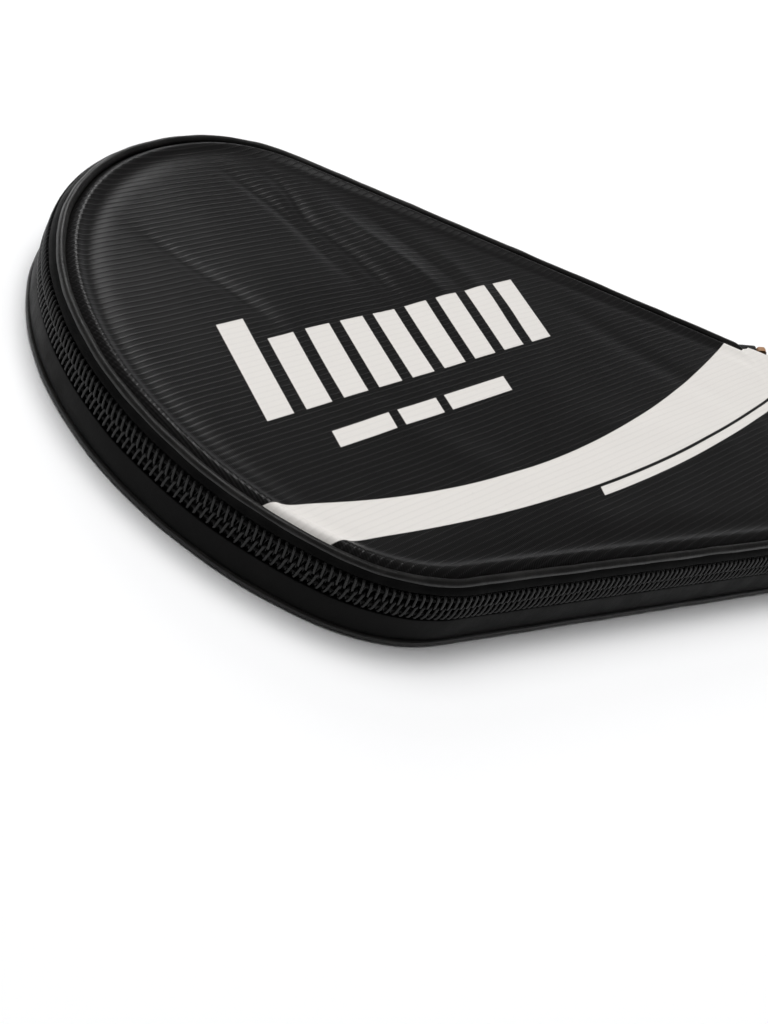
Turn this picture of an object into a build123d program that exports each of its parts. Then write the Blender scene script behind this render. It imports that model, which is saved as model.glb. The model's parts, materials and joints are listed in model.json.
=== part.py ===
from build123d import *
import os
from math import cos, radians, sin, tan

# Zipped cover for a table tennis racket, lying on its back panel.
# Origin: centre of the footprint, on the surface it lies on. +X runs from the round
# head towards the handle end, +Z is up. The zipper runs round the head in the side
# wall, from the neck on one side to the neck on the other, and the front lid folds
# up at the neck, where the face carries on over the closed handle pocket.

# ---------------------------------------------------------------- driving dimensions
LENGTH = 300.0              # overall
HEAD_HALF_WIDTH = 97.0      # centre line to the seam line at the widest point
SHOULDER_RADIUS = 53.4      # the two side arcs of the head
SHOULDER_ANGLE = 64.9       # side arc to tip arc, measured from the long axis
TAPER_ANGLE = 16.4          # half angle of the straight sides
HANDLE_CORNER = 14.0        # corner radius at the handle end
NECK_X = 110.4              # fold line between the lid and the handle pocket

FABRIC = 0.6                # ribbed nylon with its backing
LINING = 0.4
TOP_Z = 21.5                # upper face of the cover
REAR_FOAM = 2.5
FRONT_FOAM = 2.6

CHAIN_CENTRE_Z = 14.35      # mid line of the zipper
CHAIN_HALF_WIDTH = 4.35     # mid line to the back of one coil
CHAIN_GAP = 1.2             # between the two coil halves, where the slider's post runs
COIL_PROUD = 1.24           # coil stands out from the seam line
COIL_DEPTH = 2.1
CORE_RADIUS = 0.5

WALL_OUT = 0.3              # outer face of the side walls, out from the seam line
WALL = 1.2
TAPE = 0.6
TAPE_OUT = -1.0             # outer face of the zipper tape
REAR_PIPING_RADIUS = 1.0
FRONT_PIPING_RADIUS = 1.07
FRONT_PIPING_OUT = -2.5     # centre of the front piping
FRONT_PIPING_Z = 20.45
FOLD_GAP = 0.9              # from the fold line to the lid and to the pocket

SLIDER_LENGTH = 15.0
SLIDER_X = 97.5             # centre of the slider when the cover is shut

# ---------------------------------------------------------------- outline
APEX_X = -LENGTH / 2 + COIL_PROUD
HANDLE_END_X = LENGTH / 2 - REAR_PIPING_RADIUS
SHOULDER_Y = HEAD_HALF_WIDTH - SHOULDER_RADIUS
TIP_RADIUS = SHOULDER_RADIUS + SHOULDER_Y / sin(radians(SHOULDER_ANGLE))
HEAD_X = APEX_X + TIP_RADIUS - (TIP_RADIUS - SHOULDER_RADIUS) * cos(radians(SHOULDER_ANGLE))
SHOULDER_SWEEP = 90.0 - SHOULDER_ANGLE + TAPER_ANGLE
TAPER_COS = cos(radians(TAPER_ANGLE))
TAPER_SIN = sin(radians(TAPER_ANGLE))


def taper_y(x, grow=0.0):
    """Half width of the outline at x on the straight sides, grown outwards."""
    start_x = HEAD_X + (SHOULDER_RADIUS + grow) * TAPER_SIN
    start_y = SHOULDER_Y + (SHOULDER_RADIUS + grow) * TAPER_COS
    return start_y - (x - start_x) * tan(radians(TAPER_ANGLE))


def rim_lines(grow=0.0, end_x=NECK_X - FOLD_GAP):
    """Draw the open rim, from the near neck round the head to the far neck."""
    tangent_x = HEAD_X + (SHOULDER_RADIUS + grow) * TAPER_SIN
    near = Line((end_x, -taper_y(end_x, grow)), (tangent_x, -taper_y(tangent_x, grow)))
    near_arc = JernArc(near @ 1, near % 1, SHOULDER_RADIUS + grow, -SHOULDER_SWEEP)
    tip = JernArc(near_arc @ 1, near_arc % 1, TIP_RADIUS + grow, -2 * SHOULDER_ANGLE)
    far_arc = JernArc(tip @ 1, tip % 1, SHOULDER_RADIUS + grow, -SHOULDER_SWEEP)
    Line(far_arc @ 1, (end_x, taper_y(end_x, grow)))


def pocket_lines(grow=0.0, start_x=NECK_X + FOLD_GAP):
    """Draw the open pocket outline, from the far neck round the handle end to the near neck."""
    end_x = HANDLE_END_X + grow
    FilletPolyline(
        (start_x, taper_y(start_x, grow)),
        (end_x, taper_y(end_x, grow)),
        (end_x, -taper_y(end_x, grow)),
        (start_x, -taper_y(start_x, grow)),
        radius=HANDLE_CORNER + grow,
    )


def full_outline(grow=0.0):
    """Draw the whole closed outline."""
    rim_lines(grow, NECK_X)
    pocket_lines(grow, NECK_X)


def lid_outline(grow=0.0, end_x=NECK_X - FOLD_GAP):
    """Draw the head side of the outline, closed by a straight line across the neck."""
    rim_lines(grow, end_x)
    Line((end_x, taper_y(end_x, grow)), (end_x, -taper_y(end_x, grow)))


def pocket_outline(grow=0.0, start_x=NECK_X + FOLD_GAP):
    """Draw the handle side of the outline, closed by a straight line across the neck."""
    pocket_lines(grow, start_x)
    Line((start_x, taper_y(start_x, grow)), (start_x, -taper_y(start_x, grow)))


def rim_section(x, far=False):
    """Plane across the rim at x: local x runs outwards from the seam line, local y is up.
    On the near side its normal runs towards the head, on the far side towards the handle."""
    side = 1 if far else -1
    return Plane(
        origin=(x, side * taper_y(x), 0),
        x_dir=(TAPER_SIN, side * TAPER_COS, 0),
        z_dir=(side * TAPER_COS, -TAPER_SIN, 0),
    )


RIM_START = rim_section(NECK_X - FOLD_GAP)

# ---------------------------------------------------------------- levels
FOAM_EDGE = -3.9            # foam and linings stop this far inside the seam line
REAR_LINING_Z = FABRIC + REAR_FOAM
FRONT_FABRIC_Z = TOP_Z - FABRIC
FRONT_FOAM_Z = FRONT_FABRIC_Z - FRONT_FOAM
FRONT_LINING_Z = FRONT_FOAM_Z - LINING
REAR_WALL_Z = 2.3
REAR_CHAIN_Z = CHAIN_CENTRE_Z - CHAIN_HALF_WIDTH
REAR_COIL_TOP = CHAIN_CENTRE_Z - CHAIN_GAP / 2
FRONT_COIL_Z = CHAIN_CENTRE_Z + CHAIN_GAP / 2
FRONT_CHAIN_Z = CHAIN_CENTRE_Z + CHAIN_HALF_WIDTH
COIL_X = COIL_PROUD - COIL_DEPTH / 2
COIL_HEIGHT = CHAIN_HALF_WIDTH - CHAIN_GAP / 2 - 0.1
COIL_CORNER = 0.8
WALL_MID = WALL_OUT - WALL / 2
TAPE_MID = TAPE_OUT - TAPE / 2
TAPE_TUCK = 4.0             # tape hidden behind the rear wall
COIL_END_X = NECK_X - 5.0   # the coils stop short of the fold, and the metal stops follow

os.makedirs("parts", exist_ok=True)

# ================================================================ rear shell
with BuildPart() as rear_panel:
    with BuildSketch(Plane.XY):
        with BuildLine():
            full_outline(-REAR_PIPING_RADIUS)
        make_face()
    extrude(amount=FABRIC)
rear_panel.part.label = "rear_panel"
export_step(rear_panel.part, "parts/rear_panel.step")

with BuildPart() as rear_foam:
    with BuildSketch(Plane.XY.offset(FABRIC)):
        with BuildLine():
            full_outline(FOAM_EDGE)
        make_face()
    extrude(amount=REAR_FOAM)
rear_foam.part.label = "rear_foam"
export_step(rear_foam.part, "parts/rear_foam.step")

with BuildPart() as rear_lining:
    with BuildSketch(Plane.XY.offset(REAR_LINING_Z)):
        with BuildLine():
            full_outline(FOAM_EDGE)
        make_face()
    extrude(amount=LINING)
rear_lining.part.label = "rear_lining"
export_step(rear_lining.part, "parts/rear_lining.step")

# Piping sewn into the bottom seam, all the way round.
REAR_PIPING_Z = REAR_PIPING_RADIUS + 0.15
with BuildPart() as rear_piping:
    with BuildLine():
        full_outline()
    with BuildSketch(rim_section(NECK_X)):
        with Locations((0, REAR_PIPING_Z)):
            Circle(REAR_PIPING_RADIUS)
    sweep()
rear_piping.part.label = "rear_piping"
export_step(rear_piping.part, "parts/rear_piping.step")

# Binding tape over the raw edges inside the bottom seam.
BINDING_DEPTH = 1.4
BINDING_HEIGHT = 1.2
with BuildPart() as rear_seam_binding:
    with BuildLine():
        full_outline()
    with BuildSketch(rim_section(NECK_X)):
        with Locations((-REAR_PIPING_RADIUS - 0.2 - BINDING_DEPTH / 2, FABRIC + 0.1 + BINDING_HEIGHT / 2)):
            RectangleRounded(BINDING_DEPTH, BINDING_HEIGHT, 0.3)
    sweep()
rear_seam_binding.part.label = "rear_seam_binding"
export_step(rear_seam_binding.part, "parts/rear_seam_binding.step")

with BuildPart() as rear_side_wall:
    with BuildLine():
        rim_lines()
    with BuildSketch(RIM_START):
        with Locations((WALL_MID, (REAR_WALL_Z + REAR_CHAIN_Z) / 2)):
            Rectangle(WALL, REAR_CHAIN_Z - REAR_WALL_Z)
    sweep()
rear_side_wall.part.label = "rear_side_wall"
export_step(rear_side_wall.part, "parts/rear_side_wall.step")

with BuildPart() as rear_zipper_tape:
    with BuildLine():
        rim_lines()
    with BuildSketch(RIM_START):
        with Locations((TAPE_MID, (REAR_CHAIN_Z - TAPE_TUCK + REAR_COIL_TOP) / 2)):
            Rectangle(TAPE, REAR_COIL_TOP - REAR_CHAIN_Z + TAPE_TUCK)
    sweep()
rear_zipper_tape.part.label = "rear_zipper_tape"
export_step(rear_zipper_tape.part, "parts/rear_zipper_tape.step")

# Each half of the coil is a sleeve of nylon turns wound round a filler cord.
with BuildPart() as rear_zipper_coil:
    with BuildLine():
        rim_lines(end_x=COIL_END_X)
    with BuildSketch(rim_section(COIL_END_X)):
        with Locations((COIL_X, REAR_COIL_TOP - COIL_HEIGHT / 2)):
            RectangleRounded(COIL_DEPTH, COIL_HEIGHT, COIL_CORNER)
            Circle(CORE_RADIUS + 0.05, mode=Mode.SUBTRACT)
    sweep()
rear_zipper_coil.part.label = "rear_zipper_coil"
export_step(rear_zipper_coil.part, "parts/rear_zipper_coil.step")

with BuildPart() as rear_coil_cord:
    with BuildLine():
        rim_lines(end_x=COIL_END_X)
    with BuildSketch(rim_section(COIL_END_X)):
        with Locations((COIL_X, REAR_COIL_TOP - COIL_HEIGHT / 2)):
            Circle(CORE_RADIUS)
    sweep()
rear_coil_cord.part.label = "rear_coil_cord"
export_step(rear_coil_cord.part, "parts/rear_coil_cord.step")

# ================================================================ handle pocket
with BuildPart() as pocket_panel:
    with BuildSketch(Plane.XY.offset(FRONT_FABRIC_Z)):
        with BuildLine():
            pocket_outline(WALL_OUT)
        make_face()
    extrude(amount=FABRIC)
pocket_panel.part.label = "pocket_panel"
export_step(pocket_panel.part, "parts/pocket_panel.step")

BINDING = 0.5
POCKET_MOUTH_X = NECK_X + FOLD_GAP + BINDING + 0.1
POCKET_FOAM_EDGE = WALL_OUT - WALL - 0.2
with BuildPart() as pocket_foam:
    with BuildSketch(Plane.XY.offset(FRONT_FOAM_Z)):
        with BuildLine():
            pocket_outline(POCKET_FOAM_EDGE, POCKET_MOUTH_X)
        make_face()
    extrude(amount=FRONT_FOAM)
pocket_foam.part.label = "pocket_foam"
export_step(pocket_foam.part, "parts/pocket_foam.step")

with BuildPart() as pocket_lining:
    with BuildSketch(Plane.XY.offset(FRONT_LINING_Z)):
        with BuildLine():
            pocket_outline(POCKET_FOAM_EDGE, POCKET_MOUTH_X)
        make_face()
    extrude(amount=LINING)
pocket_lining.part.label = "pocket_lining"
export_step(pocket_lining.part, "parts/pocket_lining.step")

with BuildPart() as pocket_side_wall:
    with BuildSketch(Plane.XY.offset(REAR_WALL_Z)):
        with BuildLine():
            pocket_outline(WALL_OUT)
        make_face()
        with BuildLine():
            pocket_outline(WALL_OUT - WALL, NECK_X)
        make_face(mode=Mode.SUBTRACT)
    extrude(amount=FRONT_FABRIC_Z - REAR_WALL_Z)
pocket_side_wall.part.label = "pocket_side_wall"
export_step(pocket_side_wall.part, "parts/pocket_side_wall.step")

# Binding that closes the cut edge of foam and lining across the pocket's mouth.
BINDING_TOP = FRONT_FABRIC_Z
MOUTH_Y = taper_y(POCKET_MOUTH_X, POCKET_FOAM_EDGE)
with BuildPart() as pocket_mouth_binding:
    with BuildSketch(Plane.XY.offset(FRONT_LINING_Z)):
        with Locations((NECK_X + FOLD_GAP + BINDING / 2, 0)):
            Rectangle(BINDING, 2 * MOUTH_Y)
    extrude(amount=BINDING_TOP - FRONT_LINING_Z)
pocket_mouth_binding.part.label = "pocket_mouth_binding"
export_step(pocket_mouth_binding.part, "parts/pocket_mouth_binding.step")

# The short strip of face fabric that folds when the lid turns.
FOLD_RADIUS = 0.45
with BuildPart() as neck_fold:
    with BuildSketch(Plane.XZ):
        with Locations((NECK_X, TOP_Z - 0.05 - FOLD_RADIUS)):
            Circle(FOLD_RADIUS)
    extrude(amount=taper_y(NECK_X) - 3.0, both=True)
neck_fold.part.label = "neck_fold"
export_step(neck_fold.part, "parts/neck_fold.step")

# ================================================================ front lid
with BuildPart() as front_panel:
    with BuildSketch(Plane.XY.offset(FRONT_FABRIC_Z)):
        with BuildLine():
            lid_outline(FRONT_PIPING_OUT - FRONT_PIPING_RADIUS - 0.1)
        make_face()
    extrude(amount=FABRIC)
front_panel.part.label = "front_panel"
export_step(front_panel.part, "parts/front_panel.step")

LID_FOAM_X = NECK_X - FOLD_GAP - BINDING - 0.1
with BuildPart() as front_foam:
    with BuildSketch(Plane.XY.offset(FRONT_FOAM_Z)):
        with BuildLine():
            lid_outline(FOAM_EDGE, LID_FOAM_X)
        make_face()
    extrude(amount=FRONT_FOAM)
front_foam.part.label = "front_foam"
export_step(front_foam.part, "parts/front_foam.step")

with BuildPart() as front_lining:
    with BuildSketch(Plane.XY.offset(FRONT_LINING_Z)):
        with BuildLine():
            lid_outline(FOAM_EDGE, LID_FOAM_X)
        make_face()
    extrude(amount=LINING)
front_lining.part.label = "front_lining"
export_step(front_lining.part, "parts/front_lining.step")

LID_EDGE_Y = taper_y(LID_FOAM_X, FOAM_EDGE)
with BuildPart() as lid_edge_binding:
    with BuildSketch(Plane.XY.offset(FRONT_LINING_Z)):
        with Locations((NECK_X - FOLD_GAP - BINDING / 2, 0)):
            Rectangle(BINDING, 2 * LID_EDGE_Y)
    extrude(amount=BINDING_TOP - FRONT_LINING_Z)
lid_edge_binding.part.label = "lid_edge_binding"
export_step(lid_edge_binding.part, "parts/lid_edge_binding.step")

with BuildPart() as front_piping:
    with BuildLine():
        rim_lines()
    with BuildSketch(RIM_START):
        with Locations((FRONT_PIPING_OUT, FRONT_PIPING_Z)):
            Circle(FRONT_PIPING_RADIUS)
    sweep()
front_piping.part.label = "front_piping"
export_step(front_piping.part, "parts/front_piping.step")

FRONT_BINDING_TOP = FRONT_PIPING_Z - FRONT_PIPING_RADIUS - 0.15
with BuildPart() as front_seam_binding:
    with BuildLine():
        rim_lines()
    with BuildSketch(RIM_START):
        with Locations((TAPE_OUT - TAPE - 0.4 - BINDING_DEPTH / 2, FRONT_BINDING_TOP - BINDING_HEIGHT / 2)):
            RectangleRounded(BINDING_DEPTH, BINDING_HEIGHT, 0.3)
    sweep()
front_seam_binding.part.label = "front_seam_binding"
export_step(front_seam_binding.part, "parts/front_seam_binding.step")

# Narrow smooth strip that leans in from the chain to the piping.
with BuildPart() as front_side_wall:
    with BuildLine():
        rim_lines()
    with BuildSketch(RIM_START):
        with BuildLine():
            Polyline(
                (WALL_OUT, FRONT_CHAIN_Z),
                (-1.28, 20.3),
                (-1.75, 19.5),
                (-0.8, FRONT_CHAIN_Z),
                close=True,
            )
        make_face()
    sweep()
front_side_wall.part.label = "front_side_wall"
export_step(front_side_wall.part, "parts/front_side_wall.step")

with BuildPart() as front_zipper_tape:
    with BuildLine():
        rim_lines()
    with BuildSketch(RIM_START):
        with Locations((TAPE_MID, (FRONT_COIL_Z + FRONT_CHAIN_Z - 0.1) / 2)):
            Rectangle(TAPE, FRONT_CHAIN_Z - 0.1 - FRONT_COIL_Z)
    sweep()
front_zipper_tape.part.label = "front_zipper_tape"
export_step(front_zipper_tape.part, "parts/front_zipper_tape.step")

with BuildPart() as front_zipper_coil:
    with BuildLine():
        rim_lines(end_x=COIL_END_X)
    with BuildSketch(rim_section(COIL_END_X)):
        with Locations((COIL_X, FRONT_COIL_Z + COIL_HEIGHT / 2)):
            RectangleRounded(COIL_DEPTH, COIL_HEIGHT, COIL_CORNER)
            Circle(CORE_RADIUS + 0.05, mode=Mode.SUBTRACT)
    sweep()
front_zipper_coil.part.label = "front_zipper_coil"
export_step(front_zipper_coil.part, "parts/front_zipper_coil.step")

with BuildPart() as front_coil_cord:
    with BuildLine():
        rim_lines(end_x=COIL_END_X)
    with BuildSketch(rim_section(COIL_END_X)):
        with Locations((COIL_X, FRONT_COIL_Z + COIL_HEIGHT / 2)):
            Circle(CORE_RADIUS)
    sweep()
front_coil_cord.part.label = "front_coil_cord"
export_step(front_coil_cord.part, "parts/front_coil_cord.step")

# ================================================================ zipper stops
# Metal clips just past the ends of the coils: one wide clip on the near side, where the
# zipper starts, and one on each half on the far side, where the slider ends up.
STOP_LENGTH = 2.0
STOP_PLANE_X = COIL_END_X + 0.3 + STOP_LENGTH / 2
STOP_DEPTH = 2.0

with BuildPart() as zipper_bottom_stop:
    with BuildSketch(rim_section(STOP_PLANE_X)):
        with Locations((COIL_X, REAR_COIL_TOP - COIL_HEIGHT / 2 + 0.9)):
            RectangleRounded(STOP_DEPTH, COIL_HEIGHT + 1.4, 0.5)
    extrude(amount=STOP_LENGTH / 2, both=True)
zipper_bottom_stop.part.label = "zipper_bottom_stop"
export_step(zipper_bottom_stop.part, "parts/zipper_bottom_stop.step")

with BuildPart() as rear_top_stop:
    with BuildSketch(rim_section(STOP_PLANE_X, far=True)):
        with Locations((COIL_X, REAR_COIL_TOP - COIL_HEIGHT / 2)):
            RectangleRounded(STOP_DEPTH, COIL_HEIGHT, 0.5)
    extrude(amount=STOP_LENGTH / 2, both=True)
rear_top_stop.part.label = "rear_top_stop"
export_step(rear_top_stop.part, "parts/rear_top_stop.step")

with BuildPart() as front_top_stop:
    with BuildSketch(rim_section(STOP_PLANE_X, far=True)):
        with Locations((COIL_X, FRONT_COIL_Z + COIL_HEIGHT / 2)):
            RectangleRounded(STOP_DEPTH, COIL_HEIGHT, 0.5)
    extrude(amount=STOP_LENGTH / 2, both=True)
front_top_stop.part.label = "front_top_stop"
export_step(front_top_stop.part, "parts/front_top_stop.step")

# ================================================================ slider
# The outer plate rides over the coils, the inner plate behind the rear coil, and a thin
# post through the gap between the coils joins them at the slider's nose.
SLIDE_CLEARANCE = 0.36
PLATE = 1.0
OUTER_PLATE_X = COIL_PROUD + SLIDE_CLEARANCE
SLIDER_TOP = FRONT_CHAIN_Z + 0.6
SLIDER_BOTTOM = REAR_CHAIN_Z - 1.4
FLANGE = 1.1
INNER_PLATE_OUT = TAPE_OUT - TAPE - SLIDE_CLEARANCE
INNER_PLATE_Z = REAR_CHAIN_Z
POST = 0.6
POST_LENGTH = 3.0
SLIDER_MID = rim_section(SLIDER_X, far=True)
SLIDER_NOSE = SLIDER_MID.offset(SLIDER_LENGTH / 2 - POST_LENGTH / 2)

with BuildPart() as slider_body:
    with BuildSketch(SLIDER_MID):
        with BuildLine():
            Polyline(
                (OUTER_PLATE_X, SLIDER_TOP),
                (OUTER_PLATE_X + PLATE, SLIDER_TOP),
                (OUTER_PLATE_X + PLATE, SLIDER_BOTTOM),
                (OUTER_PLATE_X - FLANGE, SLIDER_BOTTOM),
                (OUTER_PLATE_X - FLANGE, SLIDER_BOTTOM + 0.9),
                (OUTER_PLATE_X, SLIDER_BOTTOM + 0.9),
                close=True,
            )
        make_face()
    extrude(amount=SLIDER_LENGTH / 2, both=True)
    outer_edges = slider_body.edges().filter_by(lambda edge: edge.length > SLIDER_LENGTH - 1)
    chamfer(outer_edges.sort_by(Axis.Z)[-1:], length=0.4)
    with BuildSketch(SLIDER_NOSE):
        with Locations(((OUTER_PLATE_X + INNER_PLATE_OUT) / 2, CHAIN_CENTRE_Z)):
            Rectangle(OUTER_PLATE_X - INNER_PLATE_OUT + 0.2, POST)
    extrude(amount=POST_LENGTH / 2, both=True)
    with BuildSketch(SLIDER_MID):
        with Locations((INNER_PLATE_OUT - PLATE / 2, (INNER_PLATE_Z + CHAIN_CENTRE_Z + POST / 2) / 2)):
            Rectangle(PLATE, CHAIN_CENTRE_Z + POST / 2 - INNER_PLATE_Z)
    extrude(amount=SLIDER_LENGTH / 2, both=True)
slider_body.part.label = "slider_body"
export_step(slider_body.part, "parts/slider_body.step")

# Bridge: a low metal arch along the outer plate that holds the pull.
BRIDGE_LENGTH = 10.0
BRIDGE_HEIGHT = 2.6
BRIDGE_WIDTH = 2.4
BRIDGE_WIRE = 0.9
BRIDGE_FOOT = OUTER_PLATE_X + PLATE
BRIDGE_PLANE = Plane(
    origin=(SLIDER_X, taper_y(SLIDER_X), CHAIN_CENTRE_Z),
    x_dir=(TAPER_COS, -TAPER_SIN, 0),
    z_dir=(0, 0, 1),
)
with BuildPart() as slider_bridge:
    with BuildSketch(BRIDGE_PLANE):
        with Locations((0, BRIDGE_FOOT + BRIDGE_HEIGHT / 2)):
            Rectangle(BRIDGE_LENGTH, BRIDGE_HEIGHT)
        with Locations((0, BRIDGE_FOOT + (BRIDGE_HEIGHT - BRIDGE_WIRE) / 2)):
            Rectangle(BRIDGE_LENGTH - 2 * BRIDGE_WIRE, BRIDGE_HEIGHT - BRIDGE_WIRE, mode=Mode.SUBTRACT)
    extrude(amount=BRIDGE_WIDTH / 2, both=True)
slider_bridge.part.label = "slider_bridge"
export_step(slider_bridge.part, "parts/slider_bridge.step")

# Small leaf spring pawl under the bridge that locks the slider on the coil.
SPRING_LENGTH = 4.6
SPRING_ALONG = -1.6
SPRING = 0.3
SPRING_WIDTH = 1.2
with BuildPart() as slider_lock_spring:
    with BuildSketch(BRIDGE_PLANE):
        with Locations((SPRING_ALONG, BRIDGE_FOOT + SPRING / 2)):
            Rectangle(SPRING_LENGTH, SPRING)
    extrude(amount=SPRING_WIDTH / 2, both=True)
slider_lock_spring.part.label = "slider_lock_spring"
export_step(slider_lock_spring.part, "parts/slider_lock_spring.step")

# ================================================================ pull
# The link is a flat ring through the bridge. It turns about the pin line under the arch.
# The moulded grip bends up from the link, so that its tip stands above the lid's edge.
PULL_PIN_ALONG = 3.0
PULL_PIN_OUT = BRIDGE_FOOT + 0.95
PIN_RADIUS = 0.5
PULL_REACH = 7.5
PULL_WIDTH = 6.0
LINK = 1.2
GRIP_LENGTH = 9.0
GRIP_THICKNESS = 2.4
TIP_LENGTH = 3.4
TIP_WIDTH = PULL_WIDTH - 0.6
GRIP_CORNER = 1.2
GRIP_GAP = 0.1
GRIP_LIFT = 20.0
PULL_PLANE = Plane(
    origin=BRIDGE_PLANE.from_local_coords((PULL_PIN_ALONG, PULL_PIN_OUT, 0)),
    x_dir=(TAPER_COS, -TAPER_SIN, 0),
    z_dir=(TAPER_SIN, TAPER_COS, 0),
)
with BuildPart() as pull_link:
    with BuildSketch(PULL_PLANE):
        with Locations((PULL_REACH / 2, 0)):
            Rectangle(PULL_REACH, PULL_WIDTH)
            Rectangle(PULL_REACH - 2 * PIN_RADIUS, PULL_WIDTH - 2 * LINK, mode=Mode.SUBTRACT)
    extrude(amount=PIN_RADIUS, both=True)
pull_link.part.label = "pull_link"
export_step(pull_link.part, "parts/pull_link.step")

GRIP_START = PULL_REACH + GRIP_GAP + PULL_WIDTH / 2 * sin(radians(GRIP_LIFT))
GRIP_PLANE = Plane(
    origin=PULL_PLANE.from_local_coords((GRIP_START, 0, -GRIP_THICKNESS / 2)),
    x_dir=PULL_PLANE.x_dir.rotate(Axis((0, 0, 0), PULL_PLANE.z_dir), -GRIP_LIFT),
    z_dir=PULL_PLANE.z_dir,
)
with BuildPart() as pull_grip:
    with BuildSketch(GRIP_PLANE):
        with Locations((GRIP_LENGTH / 2, 0)):
            RectangleRounded(GRIP_LENGTH, PULL_WIDTH, GRIP_CORNER)
    extrude(amount=GRIP_THICKNESS)
pull_grip.part.label = "pull_grip"
export_step(pull_grip.part, "parts/pull_grip.step")

with BuildPart() as pull_tip:
    with BuildSketch(GRIP_PLANE):
        with Locations((GRIP_LENGTH + GRIP_GAP + TIP_LENGTH / 2, 0)):
            RectangleRounded(TIP_LENGTH, TIP_WIDTH, GRIP_CORNER)
    extrude(amount=GRIP_THICKNESS)
pull_tip.part.label = "pull_tip"
export_step(pull_tip.part, "parts/pull_tip.step")
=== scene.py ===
import json
import math

import bmesh
import bpy
import numpy as np
from mathutils import Matrix, Vector


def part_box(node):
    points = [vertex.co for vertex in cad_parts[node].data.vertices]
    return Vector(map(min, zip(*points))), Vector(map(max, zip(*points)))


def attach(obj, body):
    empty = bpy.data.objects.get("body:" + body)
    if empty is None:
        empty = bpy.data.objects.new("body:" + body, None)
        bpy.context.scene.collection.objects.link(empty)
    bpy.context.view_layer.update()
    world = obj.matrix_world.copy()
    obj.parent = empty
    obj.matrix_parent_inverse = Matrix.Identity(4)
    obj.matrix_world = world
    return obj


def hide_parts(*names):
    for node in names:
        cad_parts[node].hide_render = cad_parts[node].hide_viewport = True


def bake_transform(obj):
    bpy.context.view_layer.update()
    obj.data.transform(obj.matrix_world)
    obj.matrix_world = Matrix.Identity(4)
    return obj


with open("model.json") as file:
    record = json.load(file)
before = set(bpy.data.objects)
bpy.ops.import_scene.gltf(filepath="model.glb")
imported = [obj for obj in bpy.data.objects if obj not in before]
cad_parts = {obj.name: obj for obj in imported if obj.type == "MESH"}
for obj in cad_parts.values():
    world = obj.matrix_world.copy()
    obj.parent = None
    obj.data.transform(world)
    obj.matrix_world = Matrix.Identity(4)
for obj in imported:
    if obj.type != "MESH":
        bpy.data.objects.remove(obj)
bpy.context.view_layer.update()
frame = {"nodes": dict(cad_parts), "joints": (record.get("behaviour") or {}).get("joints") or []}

MM = 0.001

# Lengths are in millimetres in the row frame until a mesh is made.
# Attribute "lay" on every soft piece holds where its cloth lay at rest: x, y, z on the
# flat panels, and distance along and round the strip on everything carried round the rim.

# ================================================================ sizes of the CAD part


def node_box(node):
    low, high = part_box(node)
    return np.array(low) / MM, np.array(high) / MM


HEAD_END = node_box("rear_zipper_coil")[0][0]
HANDLE_END = node_box("rear_piping")[1][0]
COIL_PROUD = 1.24
PIPING_FOOT_RADIUS = 1.0
HALF_WIDTH = node_box("rear_zipper_coil")[1][1] - COIL_PROUD
SHOULDER_RADIUS = 53.4
SHOULDER_ANGLE = math.radians(64.9)
TAPER = math.radians(16.4)
HANDLE_CORNER = 14.0
HINGE = next(j for j in frame["joints"] if j["name"] == "lid_hinge")
NECK_X = HINGE["pos_m"][0] / MM
FOLD_GAP = 0.9
TOP_Z = node_box("front_panel")[1][2]
REAR_LINING_TOP = node_box("rear_lining")[1][2]
FRONT_LINING_LOW = node_box("front_lining")[0][2]
CHAIN_LOW = node_box("rear_side_wall")[1][2]
CHAIN_HIGH = node_box("front_side_wall")[0][2]
CHAIN_MID = (CHAIN_LOW + CHAIN_HIGH) / 2
COIL_END_X = node_box("rear_top_stop")[0][0]

TIP_RADIUS = SHOULDER_RADIUS + (HALF_WIDTH - SHOULDER_RADIUS) / math.sin(SHOULDER_ANGLE)
TIP_CENTRE_X = HEAD_END + COIL_PROUD + TIP_RADIUS
HEAD_X = TIP_CENTRE_X - (TIP_RADIUS - SHOULDER_RADIUS) * math.cos(SHOULDER_ANGLE)
TANGENT_X = HEAD_X + SHOULDER_RADIUS * math.sin(TAPER)
TANGENT_Y = HALF_WIDTH - SHOULDER_RADIUS * (1 - math.cos(TAPER))
END_X = HANDLE_END - PIPING_FOOT_RADIUS


def taper_y(x):
    return TANGENT_Y - (x - TANGENT_X) * math.tan(TAPER)


# ================================================================ the seam line
# Stretches of (length, radius), walked clockwise from the near side of the neck round the
# head to the far side, then round the handle end. Radius None is a straight.

CORNER_TURN = math.pi / 2 - TAPER
CORNER_TRIM = HANDLE_CORNER * math.tan(CORNER_TURN / 2)
NECK_TO_HEAD = (NECK_X - TANGENT_X) / math.cos(TAPER)
NECK_TO_END = (END_X - NECK_X) / math.cos(TAPER) - CORNER_TRIM
STRETCHES = [
    (NECK_TO_HEAD, None),
    (SHOULDER_RADIUS * (math.pi / 2 - SHOULDER_ANGLE + TAPER), SHOULDER_RADIUS),
    (TIP_RADIUS * 2 * SHOULDER_ANGLE, TIP_RADIUS),
    (SHOULDER_RADIUS * (math.pi / 2 - SHOULDER_ANGLE + TAPER), SHOULDER_RADIUS),
    (NECK_TO_HEAD, None),
    (NECK_TO_END, None),
    (HANDLE_CORNER * CORNER_TURN, HANDLE_CORNER),
    (2 * (taper_y(END_X) - CORNER_TRIM), None),
    (HANDLE_CORNER * CORNER_TURN, HANDLE_CORNER),
    (NECK_TO_END, None),
]
RIM = sum(length for length, _ in STRETCHES[:5])
ROUND = sum(length for length, _ in STRETCHES)


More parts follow.
